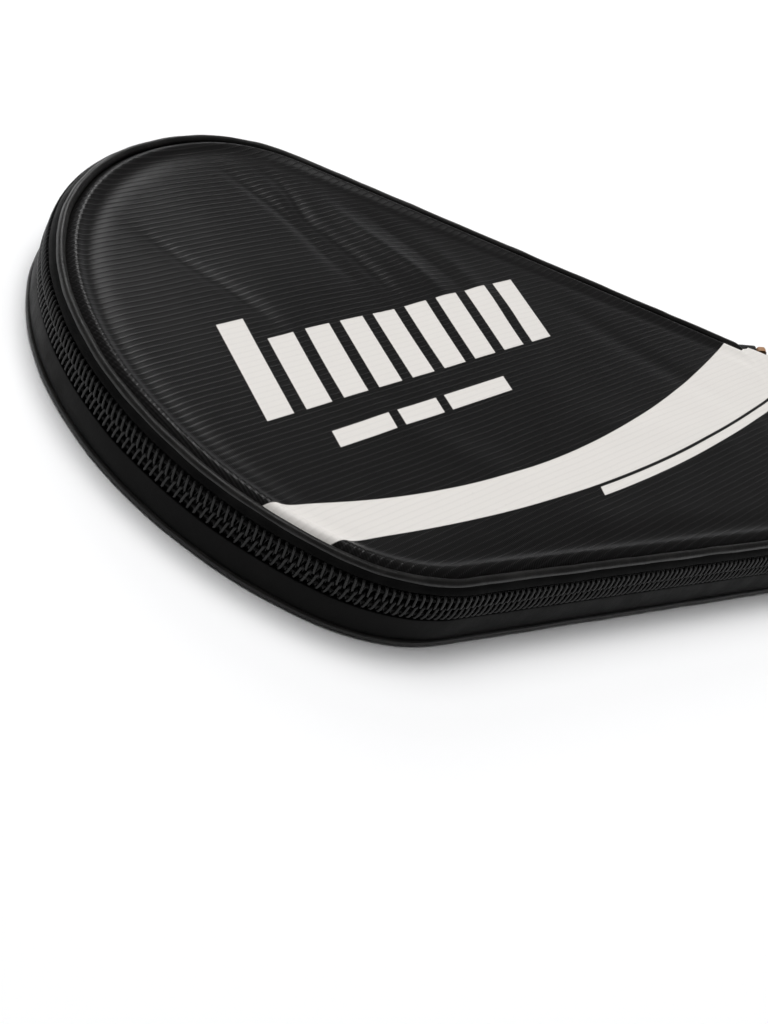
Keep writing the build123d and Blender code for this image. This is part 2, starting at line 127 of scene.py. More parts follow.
def seam(s):
    """x, y and outward normal of the seam line at distances s."""
    s = np.asarray(s, float) % ROUND
    out = np.zeros((4, len(s)))
    x, y, heading, begin = NECK_X, -taper_y(NECK_X), math.pi + TAPER, 0.0
    for length, radius in STRETCHES:
        here = (s >= begin) & (s <= begin + length)
        d = s[here] - begin
        if radius is None:
            out[0, here], out[1, here] = x + d * math.cos(heading), y + d * math.sin(heading)
            turned = np.full(len(d), heading)
            x, y = x + length * math.cos(heading), y + length * math.sin(heading)
        else:
            cx, cy = x + radius * math.sin(heading), y - radius * math.cos(heading)
            turned = heading - d / radius
            out[0, here] = cx - radius * np.sin(turned)
            out[1, here] = cy + radius * np.cos(turned)
            heading -= length / radius
            x, y = cx - radius * math.sin(heading), cy + radius * math.cos(heading)
        out[2, here], out[3, here] = -np.sin(turned), np.cos(turned)
        begin += length
    return out


# ================================================================ mesh helpers
SHARP_ANGLE = math.radians(50)


def finish_mesh(mesh, lay):
    """Write the cloth coordinates, and shade smooth except over sharp edges."""
    attribute = mesh.attributes.new("lay", "FLOAT_VECTOR", "POINT")
    attribute.data.foreach_set("vector", np.asarray(lay, np.float32).ravel())
    mesh.polygons.foreach_set("use_smooth", [True] * len(mesh.polygons))
    mesh.set_sharp_from_angle(angle=SHARP_ANGLE)


def add_piece(name, points, faces, lay, mat):
    """A mesh object from points in millimetres, with its cloth coordinates."""
    mesh = bpy.data.meshes.new(name)
    mesh.from_pydata((np.asarray(points) * MM).tolist(), [], faces)
    finish_mesh(mesh, lay)
    mesh.materials.append(mat)
    piece = bpy.data.objects.new(name, mesh)
    bpy.context.scene.collection.objects.link(piece)
    return piece


def grid_faces(rows, columns, wrap_rows=False, wrap_columns=True):
    """Quads between rows of points, each row closed into a ring if wrap_columns."""
    i = np.arange(rows if wrap_rows else rows - 1)[:, None]
    j = np.arange(columns if wrap_columns else columns - 1)[None, :]
    ni, nj = (i + 1) % rows, (j + 1) % columns
    here, below = i * columns, ni * columns
    quads = np.stack([here + j, here + nj, below + nj, below + j], -1)
    return quads.reshape(-1, 4).tolist()


def rounded(corners, radius, steps=3):
    """A closed profile with its corners rounded off."""
    corners = np.asarray(corners, float)
    points = []
    for before, here, after in zip(np.roll(corners, 1, 0), corners, np.roll(corners, -1, 0)):
        a, b = before - here, after - here
        reach = min(radius, 0.45 * np.linalg.norm(a), 0.45 * np.linalg.norm(b))
        start = here + a / np.linalg.norm(a) * reach
        end = here + b / np.linalg.norm(b) * reach
        for t in np.linspace(0, 1, steps + 1):
            points.append((1 - t) ** 2 * start + 2 * t * (1 - t) * here + t * t * end)
    return np.array(points)


def circle(out, z, radius, sides=20):
    turn = np.arange(sides) * 2 * math.pi / sides
    return np.stack([out + radius * np.cos(turn), z + radius * np.sin(turn)], -1)


def carry(name, profile, mat, start, end, step=1.6, wobble=None):
    """Carry a closed profile of (out, z) points along the seam line from start to end.
    wobble(s, profile) gives the moved profile at each distance. A full turn closes up."""
    closed = abs(end - start - ROUND) < 1e-6
    count = int((end - start) / step)
    s = np.linspace(start, end, count, endpoint=not closed)
    x, y, nx, ny = seam(s)
    rows = np.repeat(profile[None], len(s), 0)
    if wobble:
        rows = wobble(s[:, None], rows)
    points = np.stack([
        x[:, None] + nx[:, None] * rows[..., 0],
        y[:, None] + ny[:, None] * rows[..., 0],
        rows[..., 1],
    ], -1)
    sides = profile.shape[0]
    girth = np.cumsum(np.linalg.norm(np.diff(profile, axis=0, prepend=profile[:1]), axis=1))
    lay = np.zeros((len(s), sides, 3))
    lay[..., 0], lay[..., 1] = s[:, None], girth[None]
    faces = grid_faces(len(s), sides, wrap_rows=closed)
    if not closed:
        faces += [list(range(sides)), list(range((len(s) - 1) * sides, len(s) * sides))[::-1]]
    return add_piece(name, points.reshape(-1, 3), faces, lay.reshape(-1, 3), mat)


def ripple(s, seed, length, octaves=3):
    """Smooth uneven waves along the rim, about one unit high."""
    total = 0
    for k in range(octaves):
        turns = max(1, round(ROUND / length * 1.7 ** k))
        total = total + np.sin(2 * math.pi * turns * s / ROUND + seed * (k + 1) * 2.3) / 1.5 ** k
    return total / 2


def half_seam(count):
    """The far half of the closed seam line, from the tip of the head to the handle end."""
    tip = RIM / 2
    end = tip + ROUND / 2
    return np.linspace(tip, end, count)


SPINE_FROM, SPINE_TO = -62.0, 112.0
RIM_BAND = 13.5
WELD = 0.02
EDGE_NORMAL = 0.25


def panel_rings(edge, along, band, across):
    """Rings of points over the far half of the outline, from the edge in to the spine."""
    x, y, nx, ny = seam(half_seam(along))
    y[0] = y[-1] = 0.0
    edge_depth = edge(x)
    rings = []
    for t in np.linspace(0, 1, band):
        depth = edge_depth + (RIM_BAND - edge_depth) * t
        rings.append((x - nx * depth, np.maximum(y - ny * depth, 0), depth))
    bx, by, _ = rings[-1]
    spine = np.clip(bx, SPINE_FROM, SPINE_TO)
    for t in np.linspace(0, 1, across + 1)[1:]:
        px, py = bx + (spine - bx) * t, by * (1 - t)
        rings.append((px, py, RIM_BAND + np.hypot(px - bx, py - by)))
    return (np.array(v) for v in zip(*rings))


def cut_open(work, cut, side):
    """Cut a panel off at x = cut and close the cut."""
    bmesh.ops.bisect_plane(
        work, geom=work.verts[:] + work.edges[:] + work.faces[:],
        plane_co=(cut * MM, 0, 0), plane_no=(side, 0, 0), clear_outer=True,
    )
    bmesh.ops.holes_fill(work, edges=[e for e in work.edges if e.is_boundary], sides=0)


def panel(
    name, edge, top, bottom, mat, low_x=None, high_x=None, along=280, band=14, across=34
):
    """A closed padded sheet that fills the outline, from edge(x) inside the seam line.
    top and bottom give heights from x, y and the distance inside the seam line."""
    px, py, depth = panel_rings(edge, along, band, across)
    rings, count = px.shape
    sheet = rings * count
    faces, points = [], []
    for height, upper in ((top, True), (bottom, False)):
        for side in (1, -1):
            base = len(points) * sheet
            z = height(px, py * side, depth)
            points.append(np.stack([px, py * side, z], -1).reshape(-1, 3))
            quads = np.array(grid_faces(rings, count, wrap_columns=False)) + base
            flip = (side > 0) == upper
            faces += (quads if flip else quads[:, ::-1]).tolist()
    for side in (0, 1):
        j = np.arange(count - 1)
        upper, lower = side * sheet + j, (side + 2) * sheet + j
        strip = np.stack([upper, upper + 1, lower + 1, lower], -1)
        faces += (strip if side else strip[:, ::-1]).tolist()
    points = np.concatenate(points)
    piece = add_piece(name, points, faces, points, mat)
    mesh = piece.data
    work = bmesh.new()
    work.from_mesh(mesh)
    bmesh.ops.remove_doubles(work, verts=work.verts, dist=WELD * MM)
    for cut, side in ((low_x, -1), (high_x, 1)):
        if cut is not None:
            cut_open(work, cut, side)
    bmesh.ops.recalc_face_normals(work, faces=work.faces)
    work.to_mesh(mesh)
    work.free()
    mesh.attributes.remove(mesh.attributes["lay"])
    finish_mesh(mesh, np.array([v.co for v in mesh.vertices]) / MM)
    return piece


def line_underside(piece, mat):
    """Give the underside and the cut edges of a panel their own material."""
    piece.data.materials.append(mat)
    for polygon in piece.data.polygons:
        if polygon.normal.z < EDGE_NORMAL:
            polygon.material_index = 1


# ================================================================ material helpers


class Graph:
    """A material with short calls for its nodes. Plain values go on the shader's sockets."""

    def __init__(self, name, **sockets):
        self.material = bpy.data.materials.new(name)
        self.material.use_nodes = True
        self.tree = self.material.node_tree
        self.shader = self.tree.nodes["Principled BSDF"]
        for socket, value in sockets.items():
            self.shader.inputs[socket.replace("_", " ")].default_value = value

    def node(self, kind, inputs=(), **settings):
        made = self.tree.nodes.new(kind)
        for key, value in settings.items():
            setattr(made, key, value)
        for key, value in dict(inputs).items():
            self.put(made.inputs[key], value)
        return made

    def put(self, socket, value):
        if isinstance(value, bpy.types.NodeSocket):
            self.tree.links.new(value, socket)
        else:
            socket.default_value = value

    def math(self, operation, a, b=0.0, clamp=False):
        made = self.node("ShaderNodeMath", {0: a, 1: b}, operation=operation, use_clamp=clamp)
        return made.outputs[0]

    def lay(self):
        """The cloth coordinates as a vector and as three numbers, in millimetres."""
        vector = self.node("ShaderNodeAttribute", attribute_name="lay").outputs["Vector"]
        parts = self.node("ShaderNodeSeparateXYZ", {0: vector})
        return vector, parts.outputs[0], parts.outputs[1], parts.outputs[2]

    def noise(self, vector, scale, detail=2.0, roughness=0.5):
        made = self.node(
            "ShaderNodeTexNoise",
            {"Vector": vector, "Scale": scale, "Detail": detail, "Roughness": roughness},
        )
        return made.outputs["Fac"]

    def span(self, value, low, high, to_low=0.0, to_high=1.0):
        """value from low..high stretched to to_low..to_high and held there."""
        made = self.node(
            "ShaderNodeMapRange",
            {
                "Value": value, "From Min": low, "From Max": high,
                "To Min": to_low, "To Max": to_high,
            },
        )
        return made.outputs[0]

    def wave(self, value, pitch, power=1.0):
        """Ridges across value, 0 to 1 high, pitch apart, narrower for a higher power."""
        angle = self.math("MULTIPLY", value, 2 * math.pi / pitch)
        ridge = self.math("MULTIPLY_ADD", self.math("SINE", angle), 0.5)
        ridge.node.inputs[2].default_value = 0.5
        return self.math("POWER", ridge, power)

    def total(self, *terms):
        """Sum of (value, weight) pairs."""
        result = 0.0
        for value, weight in terms:
            result = self.math("ADD", self.math("MULTIPLY", value, weight), result)
        return result

    def mix(self, factor, a, b):
        made = self.node("ShaderNodeMix", data_type="RGBA")
        self.put(made.inputs["Factor"], factor)
        self.put(made.inputs[6], a)
        self.put(made.inputs[7], b)
        return made.outputs[2]

    def bump(self, height, distance_mm, strength=1.0):
        made = self.node(
            "ShaderNodeBump",
            {"Height": height, "Distance": distance_mm * MM, "Strength": strength},
        )
        self.tree.links.new(made.outputs["Normal"], self.shader.inputs["Normal"])


def grey(level, warm=0.0):
    return (level * (1 + warm), level, level * (1 - warm), 1.0)


# ================================================================ materials
RIB_ANGLE = math.radians(31)
RIB_PITCH = 1.82
QUILT_PITCH = 14.0
INK = (0.71, 0.685, 0.655, 1.0)
# The ribs are painted from CLOTH_DARK towards CLOTH_LIGHT as painted sheen; the weave, blotches and lint
# also lighten towards CLOTH_LIGHT.
CLOTH_DARK = (0.0026, 0.0024, 0.0023, 1.0)
CLOTH_LIGHT = (0.027, 0.026, 0.0265, 1.0)


def rib_coordinates(g, x, y):
    """Distances along and across the ribs."""
    c, s = math.cos(RIB_ANGLE), math.sin(RIB_ANGLE)
    return g.total((x, c), (y, s)), g.total((x, -s), (y, c))


def inside(g, value, low, high, soft=0.12):
    """1 where value lies between low and high, 0 elsewhere, with a thin soft edge."""
    rise = g.span(g.math("SUBTRACT", value, low), -soft, soft)
    fall = g.span(g.math("SUBTRACT", high, value), -soft, soft)
    return g.math("MULTIPLY", rise, fall)


MARK_ORIGIN = (-98.9, -44.7)
MARK_LINE = math.radians(30.7)
MARK_LEAN = math.radians(100.0)
BAR_WIDTH, BAR_PITCH, BAR_HEIGHT, FIRST_BAR_HEIGHT = 10.5, 15.5, 28.0, 37.5
MARK_BARS = [(0.0, BAR_WIDTH, 0.0, FIRST_BAR_HEIGHT)] + [
    (BAR_PITCH * k, BAR_PITCH * k + BAR_WIDTH, 0.0, BAR_HEIGHT) for k in range(1, 9)
]
DASH_LOW, DASH_HIGH = -15.6, -9.6
MARK_DASHES = [
    (start, end, DASH_LOW, DASH_HIGH) for start, end in ((20.0, 44.0), (48.0, 66.0), (70.0, 100.0))
]


def print_mask(g, x, y):
    """Plain slanted bars, dashes and a curved band: where the white ink lies on the face."""
    ax, ay = math.cos(MARK_LINE), math.sin(MARK_LINE)
    bx, by = math.cos(MARK_LEAN), math.sin(MARK_LEAN)
    det = ax * by - ay * bx
    px = g.math("SUBTRACT", x, MARK_ORIGIN[0])
    py = g.math("SUBTRACT", y, MARK_ORIGIN[1])
    along = g.total((px, by / det), (py, -bx / det))
    up = g.total((px, -ay / det), (py, ax / det))
    shapes = []
    for a0, a1, b0, b1 in MARK_BARS + MARK_DASHES:
        shapes.append(g.math("MULTIPLY", inside(g, along, a0, a1), inside(g, up, b0, b1)))
    square = g.math("MULTIPLY", x, x)
    band_top = g.math("ADD", g.total((square, 0.00195), (x, 0.604)), -34.0)
    band_low = g.math("ADD", g.total((square, 0.00113), (x, 0.517)), -48.7)
    shapes.append(inside(g, y, band_low, band_top))
    stripe = inside(g, y, g.math("SUBTRACT", band_low, 4.6), g.math("SUBTRACT", band_low, 1.2))
    shapes.append(g.math("MULTIPLY", stripe, g.span(x, 6.0, 6.3)))
    mask = shapes[0]
    for shape in shapes[1:]:
        mask = g.math("MAXIMUM", mask, shape)
    return mask


def ribbed_nylon(name, printed):
    """Black ribbed nylon: thin raised ribs with a fine cross weave between them."""
    g = Graph(name, Specular_IOR_Level=0.30)
    vector, x, y, z = g.lay()
    along, across = rib_coordinates(g, x, y)
    across = g.total((across, 1.0), (g.noise(vector, 0.03, 1.0), 1.2))
    rib = g.wave(across, RIB_PITCH, 6.0)
    weft = g.wave(along, 0.62, 1.5)
    warp = g.wave(across, RIB_PITCH / 4, 1.5)
    blotch = g.noise(vector, 0.022, 3.0)
    lint = g.span(g.noise(vector, 1.9, 2.0, 0.6), 0.74, 0.82)
    height = g.total((rib, 0.60), (weft, 0.22), (warp, 0.14), (g.noise(vector, 2.6, 2.0), 0.12))
    ground = g.total((weft, 0.20), (warp, 0.05), (blotch, 0.08), (lint, 0.22))
    # The ribs are painted lighter than the ground, more in some patches than others: painted sheen on the
    # rib tops.
    rib_sheen_fade = g.span(g.noise(vector, 0.06, 2.0), 0.3, 0.7, 0.15, 0.32)
    tone = g.math("ADD", g.math("MULTIPLY", rib, rib_sheen_fade), ground)
    colour = g.mix(tone, CLOTH_DARK, CLOTH_LIGHT)
    rough = g.total((blotch, 0.14), (rib, -0.05), (weft, 0.06))
    rough = g.math("ADD", rough, 0.22)
    if printed:
        ink = print_mask(g, x, y)
        wear = g.span(g.noise(vector, 0.9, 4.0, 0.65), 0.24, 0.40)
        cover = g.math("MULTIPLY", ink, g.span(wear, 0.0, 1.0, 0.94, 1.0))
        shade = g.mix(g.math("MULTIPLY", rib, 0.22), INK, (0.56, 0.54, 0.515, 1.0))
        colour = g.mix(cover, colour, shade)
        height = g.math("MULTIPLY", height, g.span(cover, 0.0, 1.0, 1.0, 0.45))
        height = g.total((height, 1.0), (cover, 0.35))
        rough = g.math("ADD", rough, g.math("MULTIPLY", cover, 0.16))
    g.put(g.shader.inputs["Base Color"], colour)
    g.put(g.shader.inputs["Roughness"], rough)
    g.bump(height, 0.08)
    return g.material


def smooth_vinyl(name, dark, light, rough, specular, crease):
    """Coated sheet: fine grain, shallow creases across the strip and scuffed patches."""
    g = Graph(name, Specular_IOR_Level=specular)
    vector, along, across, z = g.lay()
    grain = g.noise(vector, 1.7, 4.0, 0.6)
    pores = g.noise(vector, 5.5, 2.0)
    pulled = g.node("ShaderNodeVectorMath", {0: vector, 1: (0.55, 0.10, 0.2)}, operation="MULTIPLY")
    folds = g.noise(pulled.outputs[0], 1.0, 3.0, 0.55)
    scuff = g.span(g.noise(vector, 0.12, 4.0, 0.6), 0.45, 0.72)
    g.put(g.shader.inputs["Base Color"], g.mix(g.total((scuff, 0.7), (grain, 0.25)), dark, light))
    mottle = g.total((scuff, 0.6), (grain, 0.4))
    g.put(g.shader.inputs["Roughness"], g.span(mottle, 0.1, 0.9, rough - 0.08, rough + 0.10))
    g.bump(g.total((grain, 0.30), (pores, 0.15), (folds, crease)), 0.16)
    return g.material


def woven_tape(name, dark, light):
    """Narrow woven tape: a fine herringbone with picks along the strip."""
    g = Graph(name, Specular_IOR_Level=0.2, Roughness=0.75)
    vector, along, across, z = g.lay()
    slant = g.wave(g.total((along, 1.0), (across, 0.6)), 0.8, 1.5)
    picks = g.wave(across, 0.45, 1.2)
    fuzz = g.noise(vector, 3.0, 3.0)
    height = g.total((slant, 0.5), (picks, 0.35), (fuzz, 0.3))
    g.put(g.shader.inputs["Base Color"], g.mix(height, dark, light))
    g.bump(height, 0.15)
    return g.material


def lining_cloth(name):
    """Brushed tricot lining: a dull napped cloth, quilted to its foam in a diamond net."""
    g = Graph(name, Sheen_Weight=0.12, Sheen_Roughness=0.6, Specular_IOR_Level=0.2)
    vector, x, y, z = g.lay()
    wales = g.wave(g.total((x, 1.0), (g.noise(vector, 0.05), 3.0)), 1.1, 1.3)
    nap = g.noise(vector, 1.6, 4.0, 0.65)
    patch = g.noise(vector, 0.035, 3.0)
    one_way = g.wave(g.total((x, 0.707), (y, 0.707)), QUILT_PITCH, 40.0)
    other_way = g.wave(g.total((x, 0.707), (y, -0.707)), QUILT_PITCH, 40.0)
    quilt = g.math("MAXIMUM", one_way, other_way)
    # The quilt lines are painted darker where they are pressed in: painted shade in the quilted grooves.
    tone = g.total((nap, 0.50), (patch, 0.45), (wales, 0.15), (quilt, -0.45))
    g.put(g.shader.inputs["Base Color"], g.mix(g.span(tone, 0.1, 0.9), grey(0.004), grey(0.030)))
    g.put(g.shader.inputs["Roughness"], g.span(patch, 0.3, 0.7, 0.72, 0.90))
    g.bump(g.total((wales, 0.20), (nap, 0.45), (quilt, -1.3)), 0.25)
    return g.material


def coil_nylon(name):
    """Extruded nylon filament: smooth and slightly waxy, duller where it is rubbed."""
    g = Graph(name, Specular_IOR_Level=0.24)
    vector, along, across, z = g.lay()
    rub = g.noise(vector, 0.35, 3.0)
    g.put(g.shader.inputs["Base Color"], g.mix(g.span(rub, 0.4, 0.8), grey(0.004), grey(0.012, 0.02)))
    g.put(g.shader.inputs["Roughness"], g.span(rub, 0.3, 0.8, 0.16, 0.30))
    g.bump(g.noise(vector, 4.0, 2.0), 0.03)
    return g.material


def hard_finish(name, dark, light, rough_low, rough_high, metallic, scale=900.0, bump_mm=0.02):
    """Metal or moulded plastic: even colour with fine mottling and worn patches."""
    g = Graph(name, Metallic=metallic, Specular_IOR_Level=0.5)
    place = g.node("ShaderNodeTexCoord").outputs["Object"]
    fine = g.noise(place, scale, 4.0, 0.6)
    worn = g.span(g.noise(place, scale / 6, 4.0, 0.6), 0.48, 0.66)
    g.put(g.shader.inputs["Base Color"], g.mix(g.total((worn, 0.7), (fine, 0.3)), dark, light))
    g.put(g.shader.inputs["Roughness"], g.span(fine, 0.3, 0.7, rough_low, rough_high))
    g.bump(fine, bump_mm)
    return g.material


def filler_cord_finish(name):
    """Twisted filler cord inside the coil."""
    g = Graph(name, Specular_IOR_Level=0.2, Roughness=0.8)
    place = g.node("ShaderNodeTexCoord").outputs["Object"]
    parts = g.node("ShaderNodeSeparateXYZ", {0: place})
    slant = g.total(
        (parts.outputs[0], 1000), (parts.outputs[1], 1000), (parts.outputs[2], 1600)
    )
    twist = g.wave(slant, 0.9, 1.5)
    g.put(g.shader.inputs["Base Color"], g.mix(twist, grey(0.003), grey(0.010)))
    g.bump(twist, 0.1)
    return g.material


FACE = ribbed_nylon("ribbed_nylon_printed", True)
BACK = ribbed_nylon("ribbed_nylon_plain", False)
PIPING = smooth_vinyl("piping_vinyl", grey(0.006, 0.04), grey(0.014, 0.06), 0.40, 0.42, 0.8)
WALL = smooth_vinyl("side_vinyl", grey(0.003), grey(0.006, 0.03), 0.52, 0.07, 0.5)
TAPE = woven_tape("zipper_tape", grey(0.003), grey(0.010))
BINDING = woven_tape("binding_tape", grey(0.005), grey(0.016))
LINING = lining_cloth("lining")
COIL = coil_nylon("zipper_coil")
CORD = filler_cord_finish("filler_cord")
BLACK_METAL = hard_finish("slider_metal", grey(0.008), grey(0.022), 0.30, 0.46, 0.3)
STEEL = hard_finish("spring_steel", grey(0.45), grey(0.62), 0.25, 0.40, 1.0)
PULL_BLACK = hard_finish("pull_rubber", grey(0.007), grey(0.015), 0.42, 0.58, 0.0, bump_mm=0.05)
PULL_TAN = hard_finish("pull_tip_tan", (0.30, 0.16, 0.08, 1), (0.42, 0.25, 0.14, 1), 0.40, 0.55, 0.0)

# ================================================================ heights of the panels


def hump(value, centre, width):
    return np.exp(-(((value - centre) / width) ** 2))


def wrinkle(x, y, start, end, width, height):
    """A soft fold along the line from start to end, dying out at both ends."""
    ax, ay = start
    dx, dy = end[0] - ax, end[1] - ay
    length = math.hypot(dx, dy)
    along = ((x - ax) * dx + (y - ay) * dy) / length ** 2
    across = ((x - ax) * -dy + (y - ay) * dx) / length
    across = across + 2.0 * np.sin(along * 4.0 + ax)
    fade = np.exp(-((np.abs(along - 0.5) * 1.85) ** 4))
    return height * fade * np.exp(-((across / width) ** 2))


# Folds in the padded face: start, end, width and height. Sharp creases first.
FOLDS = [
    ((-118, 30), (-88, -2), 3.4, -0.62),
    ((-85, 74), (-54, 36), 3.6, -0.75),
    ((-72, 80), (-58, 56), 3.0, -0.50),
    ((-61, 62), (-40, 28), 3.6, -0.70),
    ((-49, 70), (-22, 34), 4.0, 0.75),
    ((-36, 72), (-10, 38), 3.6, -0.50),
    ((-104, 62), (-74, -6), 15.0, 0.60),
    ((-60, 60), (-36, 0), 12.0, -0.55),
    ((-20, 60), (10, 30), 6.0, 0.35),
    ((-70, -30), (-10, -52), 7.0, 0.30),
    ((10, -20), (70, -8), 8.0, 0.35),
    ((30, 40), (80, 12), 6.0, -0.35),
    ((-20, -66), (40, -48), 6.0, 0.30),
    ((96, -20), (104, 26), 5.0, -0.25),
    ((118, -26), (126, 24), 6.0, 0.30),
]


def uneven(x, y, seed, length):
    """Broad shallow unevenness, about one unit high."""
    k = 2 * math.pi / length
    return (
        np.sin(k * (x * 0.83 + y * 0.41) + seed)
        + np.sin(k * (x * -0.37 + y * 1.13) + seed * 2.1)
        + np.sin(k * (x * 1.61 - y * 0.72) + seed * 3.7) * 0.6
    ) / 2.6


def pocket_share(x):
    """0 on the lid, 1 on the handle pocket, with a short blend at the neck."""
    t = np.clip((x - NECK_X + 1.0) / 2.0, 0, 1)
    return t * t * (3 - 2 * t)


def face_edge(x):
    """The face runs under the piping on the lid and out to the wall on the pocket."""
    return 2.6 - 2.8 * pocket_share(x)


def face_top(x, y, depth):
    pocket = pocket_share(x)
    toward_handle = np.clip((x + 20) / 140, 0, 1)
    roll = (0.80 - 0.45 * toward_handle) * hump(depth, 6.4, 1.7) - 0.35 * hump(depth, 10.6, 3.0)
    groove = -1.9 * hump(depth, 2.9, 1.45)
    rim = (roll + groove) * (1 - pocket) * np.clip((NECK_X - 1.5 - x) / 4.0, 0, 1)
    pocket_edge = -0.40 * hump(depth, -0.3, 0.9) * pocket
    plane = TOP_Z - 0.35 + 0.25 * (1 - np.exp(-np.maximum(depth - 8, 0) / 22))
    fade = 1 - np.exp(-((np.maximum(depth - 4, 0) / 9) ** 2))
    folds = sum(wrinkle(x, y, *fold) for fold in FOLDS)
    neck = -0.12 * hump(x, NECK_X, 2.2)
    return plane + rim + pocket_edge + fade * (folds + 0.10 * uneven(x, y, 1.3, 60)) + neck


def face_bottom(x, y, depth):
    return np.minimum(face_top(x, y, depth) - 0.45, TOP_Z - 0.55)


def back_bottom(x, y, depth):
    edge = 0.75 * hump(depth, 0.9, 1.6)
    return 0.02 + edge + 0.10 * (1 + uneven(x, y, 4.1, 75)) * (1 - hump(depth, 0, 12))


def back_top(x, y, depth):
    return back_bottom(x, y, depth) + 0.5


def liner_edge(x):
    return np.full_like(x, 4.1)


def rear_liner_top(x, y, depth):
    return REAR_LINING_TOP - 0.9 * hump(depth, 4.1, 2.2) + 0.10 * uneven(x, y, 2.7, 48)


def rear_liner_bottom(x, y, depth):
    return np.full_like(x, 0.95)


def lid_liner_bottom(x, y, depth):
    return FRONT_LINING_LOW + 0.9 * hump(depth, 4.1, 2.2) + 0.10 * uneven(x, y, 5.2, 48)


def lid_liner_top(x, y, depth):
    return np.minimum(face_bottom(x, y, depth) - 0.05, TOP_Z - 1.05)


# ================================================================ soft panels
face = panel("face_cover", face_edge, face_top, face_bottom, FACE, along=320, band=20, across=44)
line_underside(face, LINING)
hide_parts("front_panel", "pocket_panel", "neck_fold")
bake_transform(face)

back = panel("back_cover", lambda x: np.full_like(x, 0.9), back_top, back_bottom, BACK)
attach(back, "rear_shell")
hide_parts("rear_panel")

rear_liner = panel("rear_liner", liner_edge, rear_liner_top, rear_liner_bottom, LINING)
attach(rear_liner, "rear_shell")
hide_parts("rear_lining", "rear_foam")

lid_liner = panel(
    "lid_liner", liner_edge, lid_liner_top, lid_liner_bottom, LINING, high_x=NECK_X - FOLD_GAP - 0.6
)
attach(lid_liner, "front_lid")
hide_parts("front_lining", "front_foam")

pocket_liner = panel(
    "pocket_liner", lambda x: np.full_like(x, 1.3), lid_liner_top, lid_liner_bottom, LINING,
    low_x=NECK_X + FOLD_GAP + 0.6,
)
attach(pocket_liner, "rear_shell")
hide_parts("pocket_lining", "pocket_foam")

# ================================================================ strips carried round the rim
RIM_FROM = FOLD_GAP / math.cos(TAPER)
RIM_TO = RIM - RIM_FROM
PIPING_OUT, PIPING_Z, PIPING_RADIUS = -2.3, 20.35, 1.32


def finish_strip(piece, body, slot, *nodes):
    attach(piece, body)
    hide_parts(*nodes)
    return piece


PIPING_TUCK, PIPING_TAIL = 1.5, 6.0


def piping_wobble(s, rows):
    """The piping swells and wanders a little, and its two tails tuck under the face."""
    centre = np.array([PIPING_OUT, PIPING_Z])
    swell = 1 + 0.035 * ripple(s, 1.0, 23)
    moved = centre + (rows - centre) * swell[..., None]
    moved[..., 0] += 0.10 * ripple(s, 2.0, 38)
    moved[..., 1] += 0.07 * ripple(s, 3.0, 31)
    to_end = np.minimum(s - RIM_FROM, RIM_TO - s)
    moved[..., 1] -= PIPING_TUCK * np.clip(1 - to_end / PIPING_TAIL, 0, 1) ** 2
    return moved


finish_strip(
    carry(
        "front_piping_tube", circle(PIPING_OUT, PIPING_Z, PIPING_RADIUS, 28), PIPING,
        RIM_FROM, RIM_TO, 1.0, piping_wobble,
    ),
    "front_lid", "piping_vinyl", "front_piping",
)


def foot_wobble(s, rows):
    moved = rows.copy()
    moved[..., 0] += 0.10 * ripple(s, 5.0, 41)
    return moved


finish_strip(
    carry(
        "rear_piping_tube", circle(0, 1.15, PIPING_FOOT_RADIUS, 22), PIPING,
        0, ROUND, 1.2, foot_wobble,
    ),
    "rear_shell", "piping_vinyl", "rear_piping",
)


WALL_FOOT = 2.3


def wall_wobble(s, rows):
    """The wall bellies out a little between its seams, unevenly."""
    moved = rows.copy()
    z = rows[..., 1]
    lean = np.clip((z - WALL_FOOT) / (CHAIN_LOW - WALL_FOOT), 0, 1)
    belly = np.sin(lean * math.pi)
    moved[..., 0] += belly * (0.30 + 0.16 * ripple(s, 0.7, 34)) + lean * 0.35
    moved[..., 1] += 0.07 * ripple(s, 4.0, 29) * lean
    return moved


def strip_profile(outer, inner, low, high, rows=7, radius=0.35):
    """A standing strip from low to high with a few rows of points up each face."""
    corners = [(outer, low), (outer, high), (inner, high), (inner, low)]
    profile = rounded(corners, radius)
    levels = np.linspace(low, high, rows)[1:-1]
    outside = [(outer, z) for z in levels]
    inside_face = [(inner, z) for z in levels[::-1]]
    return np.concatenate([profile[:4], outside, profile[4:12], inside_face, profile[12:]])


finish_strip(
    carry(
        "rear_wall_strip", strip_profile(0.3, -0.9, 2.0, CHAIN_LOW - 0.1), WALL,
        0, RIM, 1.4, wall_wobble,
    ),
    "rear_shell", "side_vinyl", "rear_side_wall",
)


def lid_wall_wobble(s, rows):
    moved = rows.copy()
    moved[..., 0] += 0.10 * ripple(s, 6.0, 33)
    return moved


LID_WALL = rounded([(0.55, 18.75), (-0.2, 19.75), (-1.25, 20.6), (-1.9, 19.9), (-0.9, 18.75)], 0.3)
finish_strip(
    carry("lid_wall_strip", LID_WALL, WALL, RIM_FROM, RIM_TO, 1.4, lid_wall_wobble),
    "front_lid", "side_vinyl", "front_side_wall",
)

